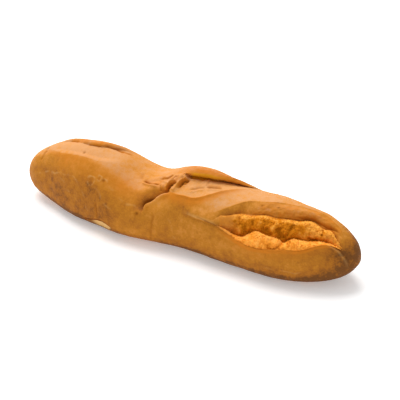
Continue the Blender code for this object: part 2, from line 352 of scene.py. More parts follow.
# Below the second score's lip the crust browns: partly its toast, partly painted shade where it turns from
# the light
browned_and_shaded += 0.75 * second_rim * (1 - ease(6, 20, below)) * (1 - ease(20, 42, x))
below = first_near - angle
first_rim = ease(-132, -118, x) * (1 - ease(-86, -58, x)) * ease(-0.5, 0.8, below)
toasted_and_shaded += 0.35 * first_rim * (1 - ease(3, 14, below))

# Bulge and rough patches of the wall behind the crumb. Towards its foot, in the crease behind the ridge,
# it is darkened with painted shade, and the middle of the bulge is lightened as a painted highlight
wall = (number == BANDS.index("wall")) * third_opening(x)
behind = (number == BANDS.index("wall")) * ease(62, 74, x) * (1 - ease(124, 130, x))
lift += 0.9 * behind * hill(share, 0.55, 0.22) * hill(x, 94, 13)
lift += 0.45 * behind * soft_noise(skin, 4.5, 62) + 0.32 * behind * soft_noise(skin, 2.0, 63)
lift += 0.14 * behind * soft_noise(skin, 1.1, 69)
browned_and_shaded += 0.9 * behind * (1 - ease(0.0, 0.45, share))
browned_and_shaded -= 0.3 * behind * hill(share, 0.6, 0.2) * hill(x, 92, 14)
browned_and_shaded += behind * (0.15 + 0.45 * soft_noise(skin, 3.0, 61) + 0.45 * soft_noise(skin, 1.5, 70))
toasted_and_shaded += behind * (0.45 + 0.5 * soft_noise(skin, 4.0, 67))
browned_and_shaded -= 0.6 * behind * ease(104, 118, x) * (1 - ease(0.0, 0.45, share))
browned_and_shaded += 0.7 * wall * hill(share, 0.95, 0.05) + 0.45 * wall
# Painted shade along the crease at the wall's foot
dark += 0.75 * behind * (1 - ease(0.0, 0.10, share)) * (1 - ease(106, 118, x))
start = ease(30, 46, x) * (1 - ease(58, 72, x)) * ease(-1.0, 1.0, angle - valley)
start *= np.where(number == BANDS.index("ridge"), 0.2, 1.0)
browned_and_shaded += 1.2 * start * (1 - ease(-1.0, 3.0, angle - third_far))

# Thin overlap where the third score starts: the upper skin laps over the crust below it. Its edge carries
# a painted highlight, and a line of painted shade runs below it along the valley line
lap = ease(14, 26, x) * (1 - ease(48, 60, x))
above = angle - third_near
lift += 0.8 * lap * ease(-0.8, 0.8, above) * (1 - ease(4, 14, above))
lift -= 0.5 * lap * hill(above, -1.6, 1.4)
thin = ease(14, 26, x) * (1 - ease(38, 50, x)) * (0.75 + 0.5 * soft_noise(skin, 3.0, 64))
pale += 0.42 * thin * ease(0.0, 0.8, above) * hill(above, 1.2, 2.6)
dark += 0.70 * ease(22, 40, x) * (1 - ease(58, 66, x)) * hill(angle, valley - 0.4, 1.0)

# Waist: the left half dips under the right half's edge. Painted shade darkens the left side of the crease
# and tints it orange, with a darker painted shadow low in the crease, and a painted highlight lightens the
# right half's edge
WAIST = ((1, -39), (-3, -40), (-6, -41.5), (-8.5, -44.5), (-10.5, -49), (-13.5, -52), (-15.7, -54.5))
WAIST += ((-16.5, -61), (-16, -70))
distance, along = from_route(WAIST, skin, outward)
left_side = np.where(distance < 0, np.exp(distance / 4.5), np.exp(-((distance / 0.9) ** 2)))
reach_in = ease(0.0, 0.12, along) * (1 - ease(0.84, 1.0, along))
lift -= 5.0 * left_side * reach_in
lift += 1.6 * hill(distance, 2.2, 2.4) * reach_in
crease_width = 0.9 + 0.9 * ease(0.35, 0.6, along)
dark += 0.85 * hill(distance, -0.4, crease_width) * ease(0.0, 0.1, along) * (1 - ease(0.86, 1.0, along))
dark += 0.6 * hill(distance, -1.2, 1.8) * hill(along, 0.66, 0.16)
browned_and_shaded += 1.6 * np.where(distance < 0, np.exp(distance / 4.5), 0.0) * reach_in
toasted_and_shaded += 0.45 * np.where(distance < 0, np.exp(distance / 6.0), 0.0) * reach_in
browned_and_shaded -= 0.8 * hill(distance, 1.8, 1.5) * reach_in
toasted_and_shaded += 0.3 * hill(distance, 5.0, 4.0) * reach_in

# Soft lobes of dough at the waist: station, angle, reach along, reach round in degrees, height
LOBES = (
    (-17.0, -29.5, 6.0, 7.0, 1.7),
    (-8.5, -30.0, 3.2, 5.0, 1.0),
    (-18.0, -17.0, 5.5, 3.5, -1.2),
    (4.5, -16.0, 4.0, 6.0, 1.5),
    (14.0, -36.0, 5.0, 5.0, 0.3),
)
for station, degrees, reach, turn, height in LOBES:
    lift += height * hill(x, station, reach) * hill(angle, degrees, turn)

# Folds of the web at the waist, and the creases in the second score's bed: depth, half width, lean to the
# left, darkness of the painted shade in the fold, with orange painted shade either side, and route. Folds of
# negative depth are ridges
FOLDS = (
    (1.9, 1.0, -0.8, 0.70, ((-26.6, -18.8), (-23.5, -19.6), (-20.7, -20.9), (-15.8, -23.3), (-10.4, -26.5))),
    (0.5, 1.2, 0.0, 0.18, ((-30.7, -7), (-29.5, -12.9), (-28.1, -17.7))),
    (0.9, 1.8, 0.0, 0.12, ((-15, -6), (-14.6, -11.7), (-13.6, -17.3), (-11.4, -24.5))),
    (0.9, 0.8, 0.8, 0.40, ((-10.6, -26), (-9.3, -31), (-7.4, -37))),
    (-0.9, 0.9, 0.0, 0.0, ((-11.5, -20.8), (-8.2, -22.3), (-4.9, -25.3), (-2.4, -24), (0.4, -22.8))),
    (2.3, 0.8, 0.8, 0.75, ((-2.1, -38), (-2.4, -34.7), (-2.3, -30.9), (-1.3, -28.2), (0.6, -27), (2.4, -24))),
    (1.6, 1.4, 0.0, 0.25, ((-1.6, -35), (-0.9, -31), (0.8, -29))),
    (-1.1, 1.2, 0.0, 0.0, ((2.9, -40), (3.2, -34.2), (4.3, -29.5), (4.8, -23.5))),
    (2.4, 0.8, 0.8, 0.90, ((5.9, -35.5), (6.7, -29.2), (7.2, -25.1), (8.3, -22.9),
                           (9.9, -22.5), (10.8, -18))),
    (1.2, 0.8, 0.0, 0.60, ((6.9, -28.5), (8.6, -26.8), (10.6, -25.6))),
    (1.1, 0.7, 0.6, 0.50, ((-17, -10), (-10.4, -15.2), (-7.7, -15.9), (-6.4, -12.6), (-4.6, -9.4))),
    (1.0, 0.7, 0.6, 0.45, ((-4, -22.4), (-2.2, -18.1), (-0.7, -13.5))),
    (0.9, 0.8, -0.6, 0.30, ((-1.0, -11.5), (0.9, -19), (1.4, -25))),
    (0.7, 0.8, 0.0, 0.20, ((3.2, -8), (4.3, -15.8), (5.8, -19.6), (7.6, -21.8))),
    (0.9, 0.8, -0.5, 0.25, ((14.5, -33.5), (18.5, -30.3), (20.9, -26.8), (25.3, -23))),
    (1.4, 0.9, -0.5, 0.42, ((25.6, -21.6), (29.2, -18), (33, -13.9), (35.8, -10.8))),
    (0.3, 0.8, 0.0, 0.12, ((24.4, -6.5), (25, -13), (25.6, -21))),
)
for fold_depth, half_width, lean, darkness, route in FOLDS:
    distance, along = from_route(route, skin, outward)
    distance = distance + 0.12 * soft_noise(skin, 2.2, 22)
    strength = fade_ends(along, 0.18, 0.82)
    shoulder = hill(np.abs(distance), 2.2 * half_width, 1.3 * half_width)
    lift -= fold_depth * np.exp(-np.abs(distance) / half_width) * strength
    lift += 0.45 * np.maximum(fold_depth, 0.0) * (1 + lean * np.sign(distance)) * shoulder * strength
    dark += 0.8 * darkness * hill(distance, 0.0, 0.75 * half_width) * strength
    toasted_and_shaded += 0.9 * darkness * hill(distance, 0.0, 2.4 * half_width) * strength

# Cracks: thin and a little crooked, with painted shade down each crack and an orange tint either side
CRACKS = (
    (0.6, 0.90, 0.28, ((-6.2, -68), (-6.7, -82), (-7.3, -91), (-7.6, -101), (-8.8, -118))),
    (0.7, 0.60, 0.42, ((-54.3, -77), (-54.2, -82.3), (-53.6, -86), (-53.4, -92), (-54.3, -99))),
    (1.4, 0.70, 1.00, ((-72, -123), (-66, -115), (-60, -108.5), (-54, -103.5), (-48.3, -102.5),
                       (-43.5, -106.5), (-40.5, -112))),
    (0.9, 1.00, 0.30, ((-117.6, -22), (-118.9, -29), (-119.9, -36.5), (-120.2, -46))),
    (1.2, 0.90, 0.45, ((97, -17), (101, -14.5), (106, -12), (110, -11.5), (116, -13.5),
                       (122, -10.2), (126, -8))),
)
for crack_depth, half_width, darkness, route in CRACKS:
    distance, along = from_route(route, skin, outward)
    distance = distance + 0.45 * soft_noise(skin, 3.0, 21)
    strength = fade_ends(along, 0.15, 0.85)
    lift -= crack_depth * hill(distance, 0.0, half_width) * strength
    dark += darkness * hill(distance, 0.0, half_width) * strength
    toasted_and_shaded += 0.5 * darkness * hill(distance, 0.0, 2.2 * half_width) * strength

# Torn places along the foot of the first ear, orange inside: depth, half width and route
TEARS = (
    (1.2, 0.95, ((-99, 3.8), (-95, 2.2), (-91.0, 0.6), (-84.2, -1.6), (-77.5, -4.0))),
    (0.6, 0.60, ((-78, -7.5), (-75.4, -7.3), (-71.0, -6.7), (-66.5, -6.2))),
    (1.4, 0.95, ((-69.5, -2.5), (-67.4, -1.2), (-64.1, -0.3), (-59.3, 1.0), (-54.8, 2.8), (-50, 4.5))),
    (0.7, 0.70, ((-52, 5), (-48.5, 8), (-45.8, 12))),
)
for tear_depth, half_width, route in TEARS:
    distance, along = from_route(route, skin, outward)
    distance = distance + 0.35 * soft_noise(skin, 2.6, 23)
    strength = fade_ends(along, 0.12, 0.88)
    lift -= tear_depth * hill(distance, 0.0, half_width) * strength
    toasted_and_shaded += 1.2 * hill(distance, 0.0, 1.5 * half_width) * strength
    # A little painted shade inside the tear
    dark += 0.28 * hill(distance, 0.0, 1.1 * half_width) * strength

# Below the crack at the base the crust has split away from a strip of pale, unbaked skin
SPLIT = CRACKS[2][3]
distance, along = from_route(SPLIT, skin, outward)
strip = ease(0.25, 0.45, along) * (1 - ease(0.88, 0.98, along))
strip *= ease(-8, -6.5, distance) * (1 - ease(-1.2, -0.6, distance))
lift -= 0.9 * strip
pale += strip

# Furrow round the right tip, where the third score runs out, with a painted highlight along its lit edge
# and painted shade along its bottom
FURROW = ((119, -41), (122, -41.3), (125.7, -43.2), (128.5, -45.9), (130.6, -49.9), (132.7, -57))
FURROW += ((134.8, -66.4), (136.2, -84), (136.8, -104))
distance, along = from_route(FURROW, skin, outward)
strength = fade_ends(along, 0.1, 0.7)
lift -= 1.2 * np.exp(-np.abs(distance) / 0.8) * strength
lift += 0.5 * hill(distance, -2.0, 1.4) * strength
pale += 0.34 * hill(distance, -1.3, 0.6) * strength * (1 - 0.4 * ease(0.3, 0.6, along))
dark += 0.75 * hill(distance, 0.1, 0.8) * strength * (1 - ease(0.25, 0.6, along))

# Pits and burst blisters: station, angle, radius. The pits are darkened with painted shade
PITS = ((70.0, -16.0, 0.8), (81.5, -11.5, 0.8), (-76.8, -24.8, 0.9))
PITS += ((-19.3, -71.6, 1.3), (-51.3, -48.7, 1.1), (-119, -14, 1.2))
for station, degrees, radius in PITS:
    away = np.linalg.norm(skin - crust_point(station, degrees), axis=-1)
    lift -= 0.6 * radius * hill(away, 0.0, radius)
    dark += 0.7 * hill(away, 0.0, radius)
BLISTERS = ((-61.8, -56, 3.4), (-55.2, -49.0, 2.0))
for station, degrees, radius in BLISTERS:
    away = np.linalg.norm(skin - crust_point(station, degrees), axis=-1)
    away = away + 0.9 * soft_noise(skin, 3.0, 31)
    broken = ease(-0.5, 0.3, soft_noise(skin, 3.4, 33))
    lift += 0.30 * hill(away, radius, 0.7) * broken - 0.2 * hill(away, 0.0, 0.8 * radius)
    pale += 0.33 * hill(away, radius, 0.5) * broken
    browned_and_shaded += 0.5 * hill(away, 0.0, 0.8 * radius)

# Pale stretch veins on the near flank
VEINS = (
    (0.6, 0.35, ((-125, -76), (-118, -70), (-110, -66), (-102, -64), (-94, -60.5), (-88, -59.5), (-81, -59))),
    (0.5, 0.30, ((-81, -59), (-78, -60), (-75, -64), (-72, -70))),
    (0.5, 0.25, ((-98, -62), (-94, -67), (-88, -71), (-84, -77), (-80, -80))),
    (0.5, 0.30, ((-53, -48), (-49, -47), (-46, -50), (-43, -53), (-39, -53))),
    (0.5, 0.22, ((-60, -60), (-52, -66), (-48, -73), (-41, -76), (-34, -75))),
    (0.6, 0.22, ((-38, -55), (-32, -59), (-24, -60), (-20, -64))),
    (0.5, 0.20, ((-70, -70), (-66, -80), (-64, -90), (-60, -98))),
    (0.6, 0.20, ((4, -70), (8, -80), (9, -92), (12, -104))),
    (0.6, 0.15, ((80, -95), (88, -101), (96, -99), (104, -103), (110, -100))),
)
for half_width, strength, route in VEINS:
    distance, along = from_route(route, skin, outward)
    distance = distance + 1.6 * soft_noise(skin, 7.0, 51) + 0.5 * soft_noise(skin, 2.5, 52)
    broken = ease(-0.4, 0.4, soft_noise(skin, 5.0, 53)) * fade_ends(along, 0.2, 0.8)
    pale += strength * hill(distance, 0.0, half_width) * broken
    lift += 0.12 * hill(distance, 0.0, half_width) * broken

# The left half's shoulder browns evenly, towards orange
toasted_and_shaded += 0.40 * ease(-108, -92, x) * (1 - ease(-40, -24, x)) * hill(angle, -44, 14)
toasted_and_shaded += 0.35 * hill(x, -33, 13) * hill(angle, -36, 14)

# Slow unevenness of hand-rolled dough, and the finer pull of the skin
lift += 0.6 * soft_noise(skin, 24.0, 3) + 0.22 * soft_noise(skin, 8.0, 5) + 0.05 * soft_noise(skin, 2.6, 8)

# The base rests flat on the tray, and the loaf is centred across it
resting = (number == BANDS.index("base near")) | (number == BANDS.index("base far"))
lift = np.where(resting, 0.0, lift)
crust_places = skin + BLADE * depth[..., None] + outward * lift[..., None]
crust_places[..., 2] = np.maximum(crust_places[..., 2], 0.0)
side_shift = -(crust_places[..., 1].min() + crust_places[..., 1].max()) / 2
crust_places[..., 1] += side_shift
crust_tips = [crust_point(tip, 0.0) + (0.0, side_shift, 0.0) for tip in (stations[0], stations[-1])]


def rows_to_piece(name, grid, start_pole, end_pole):
    """Closed skin through rings of places in millimetres, shut by a pole at each end."""
    rings, columns = grid.shape[:2]
    places = np.concatenate([grid.reshape(-1, 3), [start_pole, end_pole]]) * MILLIMETRE
    ring, column = np.meshgrid(np.arange(rings - 1), np.arange(columns), indexing="ij")
    following = (column + 1) % columns
    here, ahead = ring * columns, (ring + 1) * columns
    quads = np.stack([here + column, here + following, ahead + following, ahead + column], axis=-1)
    turn = np.arange(columns)
    after = (turn + 1) % columns
    first, last = rings * columns, (rings - 1) * columns
    start_fan = np.stack([np.full(columns, first), after, turn], axis=-1)
    end_fan = np.stack([np.full(columns, first + 1), last + turn, last + after], axis=-1)
    faces = quads.reshape(-1, 4).tolist() + start_fan.tolist() + end_fan.tolist()
    mesh = bpy.data.meshes.new(name)
    mesh.from_pydata(places.tolist(), [], faces)
    form = bmesh.new()
    form.from_mesh(mesh)
    bmesh.ops.recalc_face_normals(form, faces=form.faces)
    form.to_mesh(mesh)
    form.free()
    mesh.shade_smooth()
    piece = bpy.data.objects.new(name, mesh)
    bpy.context.scene.collection.objects.link(piece)
    return piece


def mark(piece, name, values):
    """Store one number from 0 to 1 for each vertex, under a name that the material reads."""
    flat = np.clip(np.asarray(values, float).ravel(), 0.0, 1.0)
    padded = np.zeros(len(piece.data.vertices), np.float32)
    padded[: len(flat)] = flat
    layer = piece.data.attributes.new(name, "FLOAT", "POINT")
    layer.data.foreach_set("value", padded)


crust = rows_to_piece("crust", crust_places, *crust_tips)

# How baked each place is, with painted light: the level falls where the loaf faces up, a painted highlight
# in pale peach, and rises on the flanks as painted shade; it is also darker low down and towards the right
# tip
def facing_up(grid):
    """Upward share of the outward normal of a grid of places."""
    along, round_section = np.gradient(grid, axis=0), np.gradient(grid, axis=1)
    normal = np.cross(round_section, along)
    normal /= np.maximum(np.linalg.norm(normal, axis=-1, keepdims=True), 1e-9)
    return normal[..., 2] * np.sign(np.sum(normal * outward, axis=-1))


upward = 0.65 * facing_up(skin) + 0.35 * facing_up(crust_places)
upward -= 0.40 * ease(-26, -46, angle) * (1 - ease(-14, -2, x))
bake_and_shading = 0.62 - 0.56 * ease(0.42, 0.92, upward)
bake_and_shading += 0.08 * ease(0.1, -0.5, upward)
# Darker towards the right tip: painted shade on the side away from the light
bake_and_shading += 0.30 * ease(98, 134, x) + 0.14 * ease(118, 138, x)
bake_and_shading -= 0.12 * ease(-100, -130, x) - 0.10 * hill(x, -38, 16) * ease(-40, -20, angle)
bake_and_shading -= 0.12 * hill(x, 24, 24) * ease(-60, -74, angle) * ease(-100, -84, angle)
bake_and_shading += 0.10 * hill(x, -28, 18) * ease(-25, 0, angle) * (angle < 60)
bake_and_shading -= 0.14 * hill(x, -22, 16) * ease(-84, -98, angle)
bake_and_shading -= 0.12 * ease(-104, -90, x) * (1 - ease(-40, -24, x)) * hill(angle, -42, 15)
# Below the second score's lip the level rises, painted shade where the crust turns from the light; just below
# the waist's right lip it falls, a painted highlight
bake_and_shading += 0.12 * hill(x, 12, 10) * hill(angle, -54, 8)
bake_and_shading -= 0.24 * hill(x, -6, 7) * hill(angle, -56, 9)
bake_and_shading += 0.08 * ease(-84, -100, angle) * ease(0, 30, x)
bake_and_shading += 0.18 * ease(4, 26, angle) * ease(56, 84, x)
bake_and_shading -= 0.08 * ease(30, 70, x) * ease(-48, -62, angle) * ease(-105, -90, angle)
bake_and_shading += 0.30 * browned_and_shaded
# The lowest band is darker: painted contact shade along with the underside's darker bake
bake_and_shading += 0.20 * ease(-106, -118, angle) * (angle > -BASE_EDGE)
bake_and_shading += 0.10 * ease(-45, -65, angle) * (1 - ease(-45, -25, x))
bake_and_shading -= 0.10 * (number == BANDS.index("first bed")) * first_opening(x)
mark(crust, "bake_and_shading", bake_and_shading)
mark(crust, "toasted_and_shaded", toasted_and_shaded)
mark(crust, "dark", dark)
mark(crust, "pale", pale)
torn_edge = gap_start(x)
gap = (number == BANDS.index("second bed")) * ease(torn_edge, torn_edge + 0.05, share)
gap = gap + 0.95 * (number == BANDS.index("shoulder")) * (1 - ease(1.4, 3.2, angle - second_far))
gap = gap * ease(9, 11.5, x) * (1 - ease(22, 40, x))
in_bed = (number == BANDS.index("second bed")) * second_opening(x) * (1 - gap)
# Painted highlight in yellow-orange just below the waist's right lip
glow = 0.25 * hill(x, -6, 7) * hill(angle, -56, 9)
mark(crust, "ochre", gap + 0.09 * in_bed + glow)

PALE_PEACH = (0.635, 0.305, 0.118)
WARM_TAN = (0.625, 0.250, 0.046)
GOLDEN = (0.490, 0.185, 0.018)
BROWN = (0.375, 0.130, 0.016)
DEEP_BROWN = (0.175, 0.065, 0.015)
CRACK_AND_SHADE_COLOUR = (0.19, 0.048, 0.001)
OCHRE = (0.66, 0.27, 0.008)
CREAM = (0.74, 0.44, 0.16)
TOAST_AND_SHADE_ORANGE = (0.585, 0.184, 0.014)


def add_node(tree, kind, x, y, **settings):
    """New node at a place in the tree, with its properties set."""
    node = tree.nodes.new(kind)
    node.location = (x, y)
    for key, value in settings.items():
        setattr(node, key, value)
    return node


def noise_node(tree, source, scale, detail, x, y, roughness=0.55):
    """Noise texture on the piece's own coordinates."""
    noise = add_node(tree, "ShaderNodeTexNoise", x, y)
    noise.inputs["Scale"].default_value = scale
    noise.inputs["Detail"].default_value = detail
    noise.inputs["Roughness"].default_value = roughness
    tree.links.new(source, noise.inputs["Vector"])
    return noise.outputs["Fac"]


def spread(tree, value, low, high, x, y, from_low=0.3, from_high=0.7):
    """Stretch a value to a new range."""
    node = add_node(tree, "ShaderNodeMapRange", x, y)
    node.inputs["From Min"].default_value = from_low
    node.inputs["From Max"].default_value = from_high
    node.inputs["To Min"].default_value = low
    node.inputs["To Max"].default_value = high
    tree.links.new(value, node.inputs["Value"])
    return node.outputs["Result"]


def combine(tree, operation, first, second, x, y):
    """One step of arithmetic on two values."""
    node = add_node(tree, "ShaderNodeMath", x, y, operation=operation)
    for socket, value in zip(node.inputs, (first, second)):
        if isinstance(value, (int, float)):
            socket.default_value = value
        else:
            tree.links.new(value, socket)
    return node.outputs["Value"]


def tint(tree, share, base, colour, x, y):
    """Mix a fixed colour over a base colour by a share."""
    node = add_node(tree, "ShaderNodeMix", x, y, data_type="RGBA")
    node.clamp_factor = True
    tree.links.new(share, node.inputs["Factor"])
    tree.links.new(base, node.inputs[6])
    node.inputs[7].default_value = (*colour, 1.0)
    return node.outputs[2]


def attribute(tree, name, x, y):
    return add_node(tree, "ShaderNodeAttribute", x, y, attribute_name=name).outputs["Fac"]


def colour_ramp(tree, share, stops, x, y):
    node = add_node(tree, "ShaderNodeValToRGB", x, y)
    ramp = node.color_ramp
    while len(ramp.elements) < len(stops):
        ramp.elements.new(0.5)
    for element, (position, colour) in zip(ramp.elements, stops):
        element.position = position
        element.color = (*colour, 1.0)
    tree.links.new(share, node.inputs["Fac"])
    return node.outputs["Color"]


def new_material(name):
    """Empty node material with one Principled shader, and the piece's own coordinates."""
    material = bpy.data.materials.new(name)
    material.use_nodes = True
    tree = material.node_tree
    shader = tree.nodes["Principled BSDF"]
    shader.location = (900, 0)
    tree.nodes["Material Output"].location = (1200, 0)
    coordinates = add_node(tree, "ShaderNodeTexCoord", -1600, 0)
    return material, tree, shader, coordinates.outputs["Object"]


def crust_material():
    """Baked crust: mottled from peach to brown, with pale stretch veins, fine specks, painted highlights and
    painted shade.
    """
    material, tree, shader, place = new_material("baked_crust")
    mottle = spread(tree, noise_node(tree, place, 70, 3, -1300, 300), -0.10, 0.10, -1100, 300)
    patches = spread(tree, noise_node(tree, place, 220, 4, -1300, 80), -0.12, 0.12, -1100, 80)
    specks = spread(tree, noise_node(tree, place, 900, 3, -1300, -140), -0.09, 0.09, -1100, -140)
    level = combine(tree, "ADD", attribute(tree, "bake_and_shading", -1100, 500), mottle, -900, 400)
    level = combine(tree, "ADD", level, patches, -740, 300)
    level = combine(tree, "ADD", level, specks, -580, 200)
    stretched = add_node(tree, "ShaderNodeMapping", -1500, -700)
    stretched.inputs["Scale"].default_value = (1.0, 0.45, 0.45)
    tree.links.new(place, stretched.inputs["Vector"])
    streaks = noise_node(tree, stretched.outputs["Vector"], 420, 3, -1300, -700)
    level = combine(tree, "ADD", level, spread(tree, streaks, -0.04, 0.04, -1100, -800), -480, 100)
    stops = [(0.0, PALE_PEACH), (0.28, WARM_TAN), (0.56, GOLDEN), (0.80, BROWN), (1.0, DEEP_BROWN)]
    colour = colour_ramp(tree, level, stops, -400, 300)
    toasted_and_shaded = spread(tree, noise_node(tree, place, 160, 3, -1300, -400), 0.7, 1.2, -1100, -400)
    toasted_and_shaded = combine(tree, "MULTIPLY", toasted_and_shaded, attribute(tree, "toasted_and_shaded", -1100, -600), -740, -500)
    colour = tint(tree, toasted_and_shaded, colour, TOAST_AND_SHADE_ORANGE, -100, 200)
    colour = tint(tree, attribute(tree, "ochre", -300, -50), colour, OCHRE, 100, 200)
    # Cream over pale skin and veins, and as painted highlights on lit edges
    colour = tint(tree, attribute(tree, "pale", -300, -200), colour, CREAM, 300, 200)
    # Dark over painted shade in cracks, folds, creases and pits, and over the ears' darker toast
    colour = tint(tree, attribute(tree, "dark", -300, -350), colour, CRACK_AND_SHADE_COLOUR, 500, 200)
    tree.links.new(colour, shader.inputs["Base Color"])
    shader.inputs["Specular IOR Level"].default_value = 0.04
    rough = spread(tree, noise_node(tree, place, 300, 2, -300, -550), 0.46, 0.66, -100, -550)
    tree.links.new(rough, shader.inputs["Roughness"])
    bump = add_node(tree, "ShaderNodeBump", 600, -400)
    bump.inputs["Strength"].default_value = 0.35
    bump.inputs["Distance"].default_value = 0.0006
    tree.links.new(noise_node(tree, place, 1400, 4, 300, -500), bump.inputs["Height"])
    tree.links.new(bump.outputs["Normal"], shader.inputs["Normal"])
    return material


def new_tree(name, inputs):
    """Geometry Nodes tree with a geometry input and output and named number inputs."""
    tree = bpy.data.node_groups.new(name, "GeometryNodeTree")
    tree.interface.new_socket("Geometry", in_out="INPUT", socket_type="NodeSocketGeometry")
    tree.interface.new_socket("Geometry", in_out="OUTPUT", socket_type="NodeSocketGeometry")
    for label, value in inputs.items():
        kind = "NodeSocketInt" if isinstance(value, int) else "NodeSocketFloat"
        tree.interface.new_socket(label, in_out="INPUT", socket_type=kind)
    start = add_node(tree, "NodeGroupInput", -1200, 0)
    end = add_node(tree, "NodeGroupOutput", 900, 0)
    return tree, start, end


def grow(source, tree, inputs, name):
    """Run a tree on a piece with its named inputs set, and keep the result as a plain mesh."""
    modifier = source.modifiers.new(tree.name, "NODES")
    modifier.node_group = tree
    sockets = {item.name: item.identifier for item in tree.interface.items_tree if item.in_out == "INPUT"}
    for label, value in inputs.items():
        modifier[sockets[label]] = value
    evaluated = source.evaluated_get(bpy.context.evaluated_depsgraph_get())
    mesh = bpy.data.meshes.new_from_object(evaluated)
    mesh.name = name
    source.modifiers.remove(modifier)
    return mesh


def relief_tree(inputs, material):
    """Move each place of the skin along its normal by noise; the flat underside stays flat."""
    tree, start, end = new_tree("fine_relief", inputs)
    place = add_node(tree, "GeometryNodeInputPosition", -1200, -300)
    apart = add_node(tree, "ShaderNodeSeparateXYZ", -1000, -500)
    tree.links.new(place.outputs[0], apart.inputs[0])
    above = spread(tree, apart.outputs["Z"], 0.0, 1.0, -800, -500, 0.0005, 0.004)
    noise = add_node(tree, "ShaderNodeTexNoise", -800, -200, noise_dimensions="4D")
    noise.inputs["Detail"].default_value = 3.0
    tree.links.new(place.outputs[0], noise.inputs["Vector"])
    tree.links.new(start.outputs["Relief scale"], noise.inputs["Scale"])
    tree.links.new(start.outputs["Relief seed"], noise.inputs["W"])
    centred = combine(tree, "SUBTRACT", noise.outputs["Fac"], 0.5, -600, -200)
    tall = combine(tree, "MULTIPLY", centred, start.outputs["Relief height"], -400, -200)
    tall = combine(tree, "MULTIPLY", tall, above, -200, -200)
    normal = add_node(tree, "GeometryNodeInputNormal", -200, -400)
    offset = add_node(tree, "ShaderNodeVectorMath", 0, -300, operation="SCALE")
    tree.links.new(normal.outputs[0], offset.inputs[0])
    tree.links.new(tall, offset.inputs["Scale"])
    move = add_node(tree, "GeometryNodeSetPosition", 200, 0)
    tree.links.new(start.outputs["Geometry"], move.inputs["Geometry"])
    tree.links.new(offset.outputs["Vector"], move.inputs["Offset"])
    paint = add_node(tree, "GeometryNodeSetMaterial", 600, 0)
    paint.inputs["Material"].default_value = material
    tree.links.new(move.outputs["Geometry"], paint.inputs["Geometry"])
    tree.links.new(paint.outputs["Geometry"], end.inputs["Geometry"])
    return tree


baked_crust = crust_material()
RELIEF = {"Relief scale": 420.0, "Relief height": 0.0005, "Relief seed": 4.0}
bare_skin = crust.data
crust.data = grow(crust, relief_tree(RELIEF, baked_crust), RELIEF, "crust")
bpy.data.meshes.remove(bare_skin)
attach(crust, "root")
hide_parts("loaf")

# ---------------------------------------------------------------------------
# The torn crumb in the third score. The dough burst here as it rose, so there is no crust: a long
# ridge of yellow crumb stands in the score, with two low lumps between it and the near lip.

CRUMB_BANDS = ("lumps", "ridge")
CRUMB_ROWS = (44, 96)
CRUMB_RINGS = 300
CRUMB_ENDS = (42.0, 130.5)
UNDERSIDE_STEP = 14

crumb_stations = np.linspace(*CRUMB_ENDS, CRUMB_RINGS)
cx, ca, cn, cs = chart(crumb_stations, CRUMB_BANDS, CRUMB_ROWS)
crumb_skin = crust_point(cx, ca)
crumb_middle = np.stack([cx, swell(BENDS, cx), np.full(cx.shape, TIP_HEIGHT)], axis=-1)
crumb_outward = crumb_skin - crumb_middle
crumb_outward /= np.linalg.norm(crumb_outward, axis=-1, keepdims=True)
ragged = ease(50, 64, cx)
relief = (0.35 + 0.9 * ragged) * soft_noise(crumb_skin, 7.0, 41)
for station, degrees, radius, rise in ((120.5, -28, 4.0, 1.0), (123, -20, 3.0, 0.5), (104, -28, 6.0, 0.7)):
    away = np.linalg.norm(crumb_skin - crust_point(station, degrees), axis=-1)
    relief += rise * hill(away, 0.0, radius)
torn = ragged * np.where(cn == BANDS.index("ridge"), 1.0, 0.6)
relief += torn * (0.60 * np.abs(soft_noise(crumb_skin, 3.4, 42)) + 0.28 * soft_noise(crumb_skin, 1.6, 43))
relief += 0.10 * torn * soft_noise(crumb_skin, 0.8, 44)
CRUMB_GROOVES = (
    (0.8, 1.6, ((67, -60), (69.5, -54), (70, -46), (67, -38))),
    (1.3, 1.4, ((98.3, -29), (97.3, -34), (96.8, -40), (95.9, -46.7), (94.5, -56))),
    (1.5, 2.2, ((88, -40), (91, -48), (93, -55))),
    (1.2, 1.6, ((80, -44), (83, -50), (86, -53))),
    (1.4, 1.3, ((109, -43), (112.5, -45.5), (117, -43.5))),
    (1.4, 1.2, ((116, -22), (117.4, -28), (116.8, -36))),
    (1.6, 1.2, ((91.5, -69), (92.2, -64.9), (94.9, -59))),
)
for groove_depth, half_width, route in CRUMB_GROOVES:
    distance, along = from_route(route, crumb_skin, crumb_outward)
    relief -= groove_depth * hill(distance, 0.0, half_width) * fade_ends(along, 0.2, 0.8)
edge = np.linspace(0.0, 1.0, CRUMB_RINGS)
end_fade = (ease(0.0, 0.05, edge) * ease(1.0, 0.96, edge))[:, None]
across = np.linspace(0.0, 1.0, cx.shape[1])
side_fade = (ease(0.0, 0.015, across) * ease(1.0, 0.97, across))[None, :]
relief *= end_fade * side_fade
crumb_bed = crumb_skin + BLADE * (crumb_depth(cx, cn, cs) - relief)[..., None]
crumb_bed -= crumb_outward * (0.6 * (1.0 - end_fade * side_fade))[..., None]
crumb_bed += crumb_outward * (0.25 * end_fade * side_fade)[..., None]
crumb_under = crumb_bed[:, ::-UNDERSIDE_STEP][:, 1:-1] + BLADE * 1.6
crumb_places = np.concatenate([crumb_bed, crumb_under], axis=1)
crumb_places[..., 1] += side_shift
crumb_tips = [crumb_places[end].mean(axis=0) for end in (0, -1)]
crumb = rows_to_piece("torn_crumb", crumb_places, *crumb_tips)

